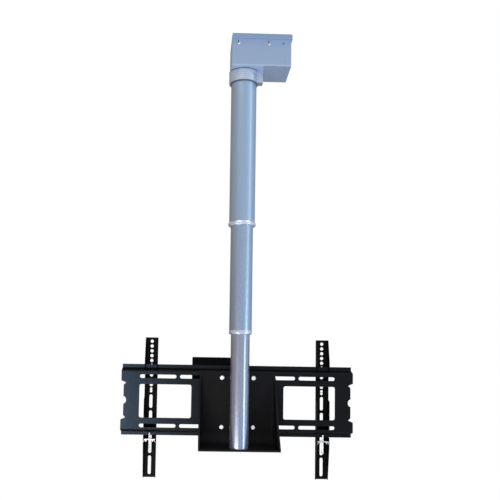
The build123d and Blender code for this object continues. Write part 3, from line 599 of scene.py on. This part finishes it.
@dataclass
class Head:
    """Ceiling tray, housing and the drive inside it. Sizes are in millimetres."""

    shell: Finish = PaintedSteel(
        "blue_grey_enamel",
        "92A7C4",
        bands=(
            # Painted shadow: darker just under the tray's ledge, fading out down the front.
            PaintedLightBand("859DC5", full_mm=-14.0, gone_mm=-46.0, share=0.9),
            # Painted highlight: lighter along the front bottom fold.
            PaintedLightBand("B4CCE6", full_mm=-93.0, gone_mm=-90.0, share=0.75),
        ),
    )
    pan: Finish = PaintedSteel(
        "pan_enamel",
        "9DB0CE",
        # Painted highlight: lighter along the pan's front fold.
        bands=(PaintedLightBand("B4CCE6", full_mm=-93.4, gone_mm=-94.9, share=0.8),),
    )
    tray: Finish = PaintedSteel(
        "tray_enamel",
        "8299BA",
        # Painted light: lighter at the tray's lower edge, against the shade that falls there.
        bands=(PaintedLightBand("A4BCDC", full_mm=-13.4, gone_mm=-11.8, share=0.85),),
    )
    collar: Finish = TurnedMetal("turned_collar", "C8D6EA", 0.26, metal=0.7)

    plug_at: Point = (111.0, -55.7, -27.0)
    plug_radius: float = 3.3
    plug_thick: float = 0.5
    plug_round: float = 0.15
    plug_round_steps: int = 3

    recess_shade_xs: tuple[float, float] = (-21.8, 66.9)
    recess_shade_y: float = -58.5
    recess_shade_z: float = -25.4
    recess_shade_radius: float = 2.7
    recess_shade_thick: float = 0.5

    trim_left: float = -39.2
    trim_right: float = 55.5
    trim_front: float = -54.5
    trim_rear: float = 48.0
    trim_hole: float = 37.6
    trim_top: float = -95.0
    trim_thick: float = 0.8

    top_shade_radius: float = 44.9
    top_shade_height: float = 1.9
    foot_shade_radius: float = 39.6
    foot_shade_top: float = -130.2
    foot_shade_height: float = 1.8
    shade_ring_wall: float = 1.2

    def build(self) -> None:
        """Dresses the head's nodes and adds its trim."""
        dress(self.shell, "housing_shell")
        dress(self.pan, "housing_pan")
        dress(self.tray, "ceiling_tray")
        dress(self.collar, "top_collar")
        dress(PlatedSteel("bright_zinc_screws", "D8DEE8", 0.16), "housing_screws")
        dress(
            PlatedSteel("zinc_screws", "B9C0CC"),
            "collar_screw",
            "frame_screws",
            "column_screws",
            "carrier_screws",
        )
        dress(PlatedSteel("galvanised_frame", "A2A8B0", 0.38, grain_mm=7.0), "support_frame")
        dress(CastAlloy("cast_gear_case", "8E9298"), "gearbox")
        dress(MouldedPlastic("black_moulding", "17181A"), "motor_end_cap", "cable_gland")
        dress(PaintedSteel("motor_can", "33363A", 0.35), "drive_motor")
        dress(MouldedPlastic("green_solder_mask", "1F5A35", 0.35), "control_board")
        dress(MouldedPlastic("green_terminals", "2E8548"), "terminal_block")
        dress(MouldedPlastic("white_nylon", "DADAD4", 0.5), "board_standoffs")
        self.hole_plug()
        self.screw_recess_shades()
        self.trim_plate()
        self.shade_rings()

    def hole_plug(self) -> None:
        """Sets a shallow plug in the spare hole at the housing's front, right of the screws."""
        shape = bmesh.new()
        front_disc(shape, self.plug_at, self.plug_radius, self.plug_thick)
        middle = self.plug_at[1] * MM
        bmesh.ops.bevel(
            shape,
            geom=[edge for edge in shape.edges if all(v.co.y < middle for v in edge.verts)],
            offset=self.plug_round * MM,
            affect="EDGES",
            segments=self.plug_round_steps,
            profile=0.5,
            material=-1,
        )
        # The plug is a piece, and its enamel, darker than the housing's, is painted shade for the
        # recess.
        place_piece("spare_hole_plug", shape, PaintedSteel("plug_recess_shade_enamel", "56779F", 0.4), "head")

    def screw_recess_shades(self) -> None:
        """Sets a dark disc a little above the middle of each front screw's head: painted shade."""
        shape = bmesh.new()
        for x in self.recess_shade_xs:
            front_disc(shape, (x, self.recess_shade_y, self.recess_shade_z), self.recess_shade_radius, self.recess_shade_thick)
        # Painted shade: each dark disc stands for the shaded recess in a screw's head.
        dark = MouldedPlastic("painted_recess_shade", "1E2634", 0.55)
        place_piece("screw_recess_shade_discs", shape, dark, "head")

    def trim_plate(self) -> None:
        """Lays a thin pale plate between the pan and the collar, as wide as the collar's lug.

        A round rim that reaches past every side is pressed in to the plate's four sides.
        """
        shape = bmesh.new()
        bmesh.ops.create_circle(shape, segments=ROUND_STEPS, radius=self.trim_hole * MM)
        reach = 2 * self.trim_right * MM
        rim = bmesh.ops.create_circle(shape, segments=ROUND_STEPS, radius=reach)["verts"]
        for point in rim:
            point.co.x = min(max(point.co.x, self.trim_left * MM), self.trim_right * MM)
            point.co.y = min(max(point.co.y, self.trim_front * MM), self.trim_rear * MM)
        bmesh.ops.bridge_loops(shape, edges=shape.edges[:])
        made = bmesh.ops.extrude_face_region(shape, geom=shape.faces[:], use_keep_orig=True)
        low = [part for part in made["geom"] if isinstance(part, bmesh.types.BMVert)]
        bmesh.ops.translate(shape, verts=low, vec=(0, 0, -self.trim_thick * MM))
        bmesh.ops.translate(shape, verts=shape.verts, vec=(0, 0, self.trim_top * MM))
        place_piece("collar_trim_plate", shape, PaintedSteel("trim_enamel", "AFC5E4"), "head")

    def shade_rings(self) -> None:
        """Turns dark rings over and under the collar: painted shade for the gap and the shadow."""
        # Painted shade: this dark rubber stands for the shadow in the gap over the collar and at
        # its foot.
        rubber = MouldedPlastic("painted_shade_rings", "40506A", 0.5)
        top = self.trim_top - self.trim_thick
        for name, radius, start, height in (
            ("collar_top_shade_ring", self.top_shade_radius, top, self.top_shade_height),
            ("collar_foot_shade_ring", self.foot_shade_radius, self.foot_shade_top, self.foot_shade_height),
        ):
            turned_band(name, radius, self.shade_ring_wall, start, height, rubber, "head")


@dataclass
class Column:
    """The three tubes, their end rings and the screw drive inside them."""

    upper: Finish = DrawnAluminium("satin_upper_tube", "B2CCE6", 0.3)
    middle: Finish = DrawnAluminium("satin_middle_tube", "B2C9E3", 0.26)
    lower: Finish = DrawnAluminium("bright_lower_tube", "AEBACF", 0.2, metal=0.8)
    rings: Finish = TurnedMetal("polished_rings", "E2EEFF", 0.26, metal=0.78)

    def build(self) -> None:
        """Dresses the column's nodes."""
        dress(self.upper, "upper_tube")
        dress(self.middle, "middle_tube")
        dress(self.lower, "lower_tube")
        dress(self.rings, "upper_end_ring", "middle_end_ring")
        dress(
            TurnedMetal("turned_steel", "8D9196", 0.3),
            "bearing_carrier",
            "spindle_coupling",
            "drive_spindle",
            "hollow_spindle",
            "column_foot",
        )
        dress(
            TurnedMetal("ground_bearing_steel", "A9ADB3", 0.18),
            "spindle_bearing",
            "stage_bearing",
            "hollow_spindle_ring",
        )
        dress(TurnedMetal("turned_bronze", "B0813F", 0.3), "middle_nut", "lower_nut")
        dress(
            MouldedPlastic("white_acetal", "DEDED8", 0.4),
            "upper_guide_bush",
            "middle_guide_bush",
            "middle_top_plug",
            "lower_top_plug",
        )
        dress(
            PlatedSteel("zinc_small_screws", "B4BAC4"),
            "middle_nut_screws",
            "lower_nut_screws",
            "foot_screws",
        )


@dataclass
class Carrier:
    """Shelf bracket, wall plate, arms and what hangs on them."""

    powder: Finish = PowderCoat("black_powder", "181718", 0.55, level=0.1)
    plate: Finish = PowderCoat("black_powder_plate", "0A0B0C", 0.3, level=0.16)
    arms: Finish = PowderCoat("black_powder_arms", "080809", 0.38, level=0.1)
    sides: tuple[Side, ...] = tuple(Side)

    def build(self) -> None:
        """Dresses the nodes that carry the television."""
        dress(self.powder, "shelf_bracket")
        dress(self.plate, "wall_plate")
        dress(self.arms, *("arm_" + side.value for side in self.sides))
        dress(PlatedSteel("zinc_bolts", "F4F6FA", 0.24), "bracket_bolts")
        dress(PlatedSteel("zinc_nuts", "C4C8CE"), "bracket_washers", "bracket_nuts")
        dress(
            PlatedSteel("zinc_tabs", "F2F4F6"),
            *("safety_tab_" + side.value for side in self.sides),
            *("safety_screw_" + side.value for side in self.sides),
        )
        dress(MouldedPlastic("receiver_moulding", "040405", 0.5, level=0.05), "receiver_box")
        foam = MouldedPlastic("foam_pads", "1B1B1B", 0.8, grain_mm=0.8, relief_mm=0.08)
        dress(foam, "receiver_pads")


@dataclass
class PhotoCamera:
    """Camera solved from the edges in the photograph. Angles are in degrees, the rest in metres.

    The lens and the sensor's width are in millimetres, and the shift is a share of that width.
    """

    place: Point = (-0.1250, -1.7623, -0.8908)
    yaw: float = -1.210
    pitch: float = 3.752
    roll: float = 1.011
    lens: float = 43.311
    sensor: float = 36.0
    shift: tuple[float, float] = (0.0780, 0.0965)
    far: float = 50.0

    def build(self) -> None:
        """Makes the camera and the scene's view through it."""
        yaw, pitch, roll = (math.radians(a) for a in (self.yaw, self.pitch, self.roll))
        turn = Matrix.Rotation(yaw, 3, "Z")
        ahead = turn @ Vector((0, math.cos(pitch), math.sin(pitch)))
        right = turn @ Vector((1, 0, 0))
        up = right.cross(ahead)
        right, up = (
            right * math.cos(roll) + up * math.sin(roll),
            up * math.cos(roll) - right * math.sin(roll),
        )
        data = bpy.data.cameras.new("photo_camera")
        data.sensor_width = self.sensor
        data.lens = self.lens
        data.shift_x, data.shift_y = self.shift
        data.clip_end = self.far
        camera = bpy.data.objects.new("photo_camera", data)
        bpy.context.scene.collection.objects.link(camera)
        basis = Matrix((right, up, -ahead)).transposed().to_4x4()
        camera.matrix_world = Matrix.Translation(self.place) @ basis
        bpy.context.scene.camera = camera
        log.info("camera at %s", self.place)


@dataclass(frozen=True)
class SoftBox:
    """One rectangular studio lamp that faces the column. Mirrors see the cards in its place.

    Azimuth 0 stands on the camera's side and 90 at the right. `aim` is the height on the
    column's axis that the lamp looks at. Sizes are in metres and the power in watts.
    """

    name: str
    azimuth: float
    distance: float
    height: float
    width: float
    tall: float
    power: float
    colour: str
    aim: float

    def build(self) -> bpy.types.Object:
        """Makes the lamp.

        Returns:
            The lamp's object.
        """
        data = bpy.data.lights.new(self.name, "AREA")
        data.shape = "RECTANGLE"
        data.size = self.width
        data.size_y = self.tall
        data.energy = self.power
        data.color = linear(self.colour)[:3]
        lamp = bpy.data.objects.new(self.name, data)
        lamp.visible_glossy = False
        bpy.context.scene.collection.objects.link(lamp)
        angle = math.radians(self.azimuth)
        place = Vector(
            (math.sin(angle) * self.distance, -math.cos(angle) * self.distance, self.height)
        )
        back = place - Vector((0, 0, self.aim))
        turn = back.to_track_quat("Z", "Y").to_matrix().to_4x4()
        lamp.matrix_world = Matrix.Translation(place) @ turn
        return lamp


@dataclass(frozen=True)
class Stop:
    """The sRGB colours of a card's glow at one azimuth, at its head and at its foot.

    Azimuths are in degrees, 0 on the camera's side and 90 at the right. Where no foot colour is
    given, the head's colour goes all the way down.
    """

    azimuth: float
    head: str
    foot: str = ""


@dataclass(frozen=True)
class Card:
    """A glowing card bent round the column and seen only in reflections.

    Such cards shape the streaks of light on polished metal, as they do in a studio. Sizes are
    in metres. Between `foot_height` and `head_height` the glow goes from one of a stop's
    colours to the other.
    """

    name: str
    stops: tuple[Stop, ...]
    low: float
    high: float
    strength: float = 1.0
    distance: float = 3.2

    foot_height: ClassVar[float] = -1.3
    head_height: ClassVar[float] = 0.6
    step_degrees: ClassVar[float] = 5.0
    least_steps: ClassVar[int] = 8

    def span(self) -> tuple[float, float]:
        """The azimuths where the card starts and ends."""
        return self.stops[0].azimuth, self.stops[-1].azimuth

    def material(self) -> bpy.types.Material:
        """Builds a glow whose colour follows the azimuth and the height.

        Returns:
            The material.
        """
        material, tree, place = surface(self.name)
        start, end = (math.radians(azimuth) for azimuth in self.span())
        axes = add(tree, "SeparateXYZ", {0: place})
        back = add(tree, "Math", {0: axes.outputs["Y"], 1: -1.0}, operation="MULTIPLY")
        angle = add(
            tree, "Math", {0: axes.outputs["X"], 1: back.outputs[0]}, operation="ARCTAN2"
        )
        inputs = {"Value": angle.outputs[0], "From Min": start, "From Max": end}
        share = add(tree, "MapRange", inputs).outputs["Result"]
        head = self.ramp(tree, share, [stop.head for stop in self.stops])
        foot = self.ramp(tree, share, [stop.foot or stop.head for stop in self.stops])
        height = eased(tree, axes.outputs["Z"], self.foot_height, self.head_height)
        colour = mixed(tree, height, foot, head)
        glow = add(tree, "Emission", {"Color": colour, "Strength": self.strength})
        output(tree, glow.outputs[0])
        return material

    def ramp(self, tree: Tree, share: Socket, colours: list[str]) -> Socket:
        """Runs colours along the card.

        Args:
            tree: the material's tree.
            share: how far round the card, from 0 to 1.
            colours: one sRGB colour for each stop.

        Returns:
            The colour socket.
        """
        start, end = self.span()
        node = add(tree, "ValToRGB", {"Fac": share})
        node.color_ramp.interpolation = "EASE"
        points = node.color_ramp.elements
        for stop, colour in zip(self.stops, colours):
            if stop.azimuth == start:
                point = points[0]
            elif stop.azimuth == end:
                point = points[-1]
            else:
                point = points.new((stop.azimuth - start) / (end - start))
            point.color = linear(colour)
        return node.outputs["Color"]

    def build(self) -> None:
        """Bends the card from one upright edge."""
        mesh = bpy.data.meshes.new(self.name)
        shape = bmesh.new()
        start, end = self.span()
        angle = math.radians(start)
        foot = Vector((math.sin(angle) * self.distance, -math.cos(angle) * self.distance, self.low))
        low = shape.verts.new(foot)
        high = shape.verts.new(foot + Vector((0, 0, self.high - self.low)))
        line = shape.edges.new((low, high))
        bmesh.ops.spin(
            shape,
            geom=[low, high, line],
            cent=(0, 0, 0),
            axis=(0, 0, 1),
            angle=math.radians(end - start),
            steps=max(self.least_steps, int((end - start) / self.step_degrees)),
            use_duplicate=False,
            use_merge=end - start >= 360,
        )
        shape.to_mesh(mesh)
        shape.free()
        mesh.materials.append(self.material())
        card = bpy.data.objects.new(self.name, mesh)
        card.visible_camera = False
        card.visible_diffuse = False
        card.visible_shadow = False
        bpy.context.scene.collection.objects.link(card)


@dataclass
class Studio:
    """Pale floor, white surround, soft lamps and the cards that shape the metal's reflections.

    `slate`, `sparkle` and `glint` are lamps that only some pieces take: the left end of
    the wall plate, the zinc parts on the carrier, and the screws in the housing. Sizes are in
    metres, apart from `floor_drift_mm`.
    """

    floor_height: float = -2.35
    floor_reach: float = 2.6
    floor_colour: str = "F1F1EF"
    floor_drift: float = 0.01
    floor_drift_mm: float = 300.0
    floor_roughness: float = 0.6
    floor_glow: float = 0.34
    ambient_colour: str = "F2F6FC"
    ambient: float = 0.5
    boxes: tuple[SoftBox, ...] = (
        SoftBox(
            "key_right",
            azimuth=58.0,
            distance=2.3,
            height=-0.9,
            width=0.55,
            tall=1.5,
            power=20.0,
            colour="F4FAFF",
            aim=-0.8,
        ),
        SoftBox(
            "fill_left",
            azimuth=-43.0,
            distance=2.6,
            height=-0.6,
            width=0.9,
            tall=1.8,
            power=20.0,
            colour="FFF8F0",
            aim=-0.7,
        ),
        SoftBox(
            "front_soft",
            azimuth=-6.0,
            distance=3.4,
            height=-0.2,
            width=2.0,
            tall=1.4,
            power=19.0,
            colour="F6FAFF",
            aim=-0.7,
        ),
    )
    cards: tuple[Card, ...] = (
        Card(
            "surround_card",
            (
                Stop(-180.0, "968E8A", "7E7470"),
                Stop(-150.0, "989290", "80706C"),
                Stop(-85.0, "B4AEA8", "A28A88"),
                Stop(-35.0, "C2BEBE", "B8A5AA"),
                Stop(20.0, "C6CCD2", "BCC2CE"),
                Stop(48.0, "CAD2DC", "C6CEDA"),
                Stop(76.0, "CBD5E0", "C6D0E0"),
                Stop(98.0, "C0C6D0", "B8C2D6"),
                Stop(140.0, "B4B0B2", "9C9AA0"),
                Stop(180.0, "968E8A", "7E7470"),
            ),
            low=-3.4,
            high=2.4,
        ),
        Card(
            "ceiling_card",
            (
                Stop(-180.0, "4E5256"),
                Stop(-110.0, "5A5E62"),
                Stop(-70.0, "8A9096"),
                Stop(-20.0, "A6AEB8"),
                Stop(20.0, "A6AEB8"),
                Stop(45.0, "C0C8D0"),
                Stop(90.0, "A6B0BE"),
                Stop(120.0, "6C7686"),
                Stop(180.0, "4E5256"),
            ),
            low=2.4,
            high=7.0,
        ),
        Card(
            "right_card",
            (Stop(52.0, "B4BCC4"), Stop(66.0, "F8FCFF"), Stop(80.0, "B4BCC4")),
            low=-0.85,
            high=2.2,
            strength=1.3,
            distance=3.15,
        ),
        Card(
            "low_right_card",
            (Stop(49.0, "C8DAF0"), Stop(55.5, "E0F0FF"), Stop(62.0, "C8DAF0")),
            low=-2.3,
            high=-0.85,
            strength=4.4,
            distance=3.1,
        ),
        Card(
            "low_left_card",
            (Stop(-46.0, "D0C4BA"), Stop(-35.0, "FFF0E2"), Stop(-24.0, "D0C4BA")),
            low=-2.3,
            high=-1.0,
            strength=0.78,
            distance=3.1,
        ),
        Card(
            "floor_left_card",
            (
                Stop(-64.0, "A8ACB0"),
                Stop(-46.0, "F4F6F8"),
                Stop(-22.0, "F4F6F8"),
                Stop(-8.0, "A8ACB0"),
            ),
            low=-2.34,
            high=-1.85,
            strength=9.0,
            distance=3.05,
        ),
        Card(
            "high_left_card",
            (
                Stop(-66.0, "A8ACB0"),
                Stop(-48.0, "F4F6F8"),
                Stop(-24.0, "F4F6F8"),
                Stop(-8.0, "A8ACB0"),
            ),
            low=2.1,
            high=4.8,
            strength=3.2,
            distance=3.1,
        ),
        Card(
            "high_right_card",
            (
                Stop(40.0, "A8B2BC"),
                Stop(54.0, "FFFFFF"),
                Stop(76.0, "FFFFFF"),
                Stop(90.0, "A8B2BC"),
            ),
            low=2.1,
            high=4.2,
            strength=3.6,
            distance=3.1,
        ),
    )
    slate: SoftBox = SoftBox(
        "slate_edge",
        azimuth=-18.5,
        distance=3.0,
        height=-1.4,
        width=0.3,
        tall=0.9,
        power=52.0,
        colour="90B4DC",
        aim=-1.08,
    )
    sparkle: SoftBox = SoftBox(
        "small_parts",
        azimuth=-9.0,
        distance=2.6,
        height=-0.9,
        width=1.2,
        tall=1.2,
        power=10.0,
        colour="FFFFFF",
        aim=-0.9,
    )
    glint: SoftBox = SoftBox(
        "screw_glint",
        azimuth=22.0,
        distance=2.6,
        height=-1.0,
        width=1.0,
        tall=1.0,
        power=50.0,
        colour="FFFFFF",
        aim=0.0,
    )

    def world(self) -> None:
        """White where the camera and mirrors look, plain light elsewhere."""
        world = bpy.data.worlds.new("surround")
        bpy.context.scene.world = world
        world.use_nodes = True
        tree = world.node_tree
        tree.nodes.clear()
        rays = add(tree, "LightPath").outputs
        seen = rays["Is Camera Ray"]
        for ray in ("Is Glossy Ray", "Is Transmission Ray"):
            seen = add(tree, "Math", {0: seen, 1: rays[ray]}, operation="MAXIMUM").outputs[0]
        ambient = linear(self.ambient_colour)
        plain = add(tree, "Background", {"Color": ambient, "Strength": self.ambient})
        white = add(tree, "Background", {"Color": (1, 1, 1, 1), "Strength": 1.0})
        mix = add(tree, "MixShader", {0: seen, 1: plain.outputs[0], 2: white.outputs[0]})
        add(tree, "OutputWorld", {"Surface": mix.outputs[0]})

    def floor(self) -> None:
        """A pale matte floor under the hanging mount. The camera alone sees its faint glow."""
        material, tree, place = surface("pale_floor")
        tone = toned(tree, place, self.floor_colour, self.floor_drift, self.floor_drift_mm)
        matte = add(tree, "BsdfDiffuse", {"Color": tone, "Roughness": self.floor_roughness})
        glow = add(tree, "Emission", {"Color": (1, 1, 1, 1), "Strength": self.floor_glow})
        lit = add(tree, "AddShader", {0: matte.outputs[0], 1: glow.outputs[0]})
        seen = add(tree, "LightPath").outputs["Is Camera Ray"]
        mix = add(tree, "MixShader", {0: seen, 1: matte.outputs[0], 2: lit.outputs[0]})
        output(tree, mix.outputs[0])
        mesh = bpy.data.meshes.new("pale_floor")
        shape = bmesh.new()
        bmesh.ops.create_circle(
            shape, cap_ends=True, segments=ROUND_STEPS, radius=self.floor_reach
        )
        bmesh.ops.translate(shape, verts=shape.verts, vec=(0, 0, self.floor_height))
        shape.to_mesh(mesh)
        shape.free()
        mesh.materials.append(material)
        floor = bpy.data.objects.new("pale_floor", mesh)
        bpy.context.scene.collection.objects.link(floor)

    def linked_light(self, box: SoftBox, *names: str) -> None:
        """Sets up a lamp whose light and sheen only some CAD nodes take.

        Args:
            box: the lamp.
            names: the CAD nodes that it lights.
        """
        lamp = box.build()
        lamp.visible_glossy = True
        takers = bpy.data.collections.new(box.name + "_takers")
        for name in names:
            takers.objects.link(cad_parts[name])
        lamp.light_linking.receiver_collection = takers

    def build(self) -> None:
        """Sets up the whole studio."""
        self.world()
        self.floor()
        for piece in self.cards + self.boxes:
            piece.build()
        self.linked_light(self.slate, "wall_plate")
        self.linked_light(self.glint, "housing_screws")
        self.linked_light(
            self.sparkle,
            "bracket_bolts",
            *(part + side.value for part in ("safety_tab_", "safety_screw_") for side in Side),
        )
        bpy.context.scene.view_settings.view_transform = "Standard"
        log.info("studio with %d lamps and %d cards", len(self.boxes), len(self.cards))


def main() -> None:
    """Builds the mount's looks, the studio and the camera in order."""
    logging.basicConfig(level=logging.INFO, format="%(name)s: %(message)s")
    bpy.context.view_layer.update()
    for part in (Head(), Column(), Carrier(), Studio(), PhotoCamera()):
        part.build()


if __name__ == "__main__":
    main()
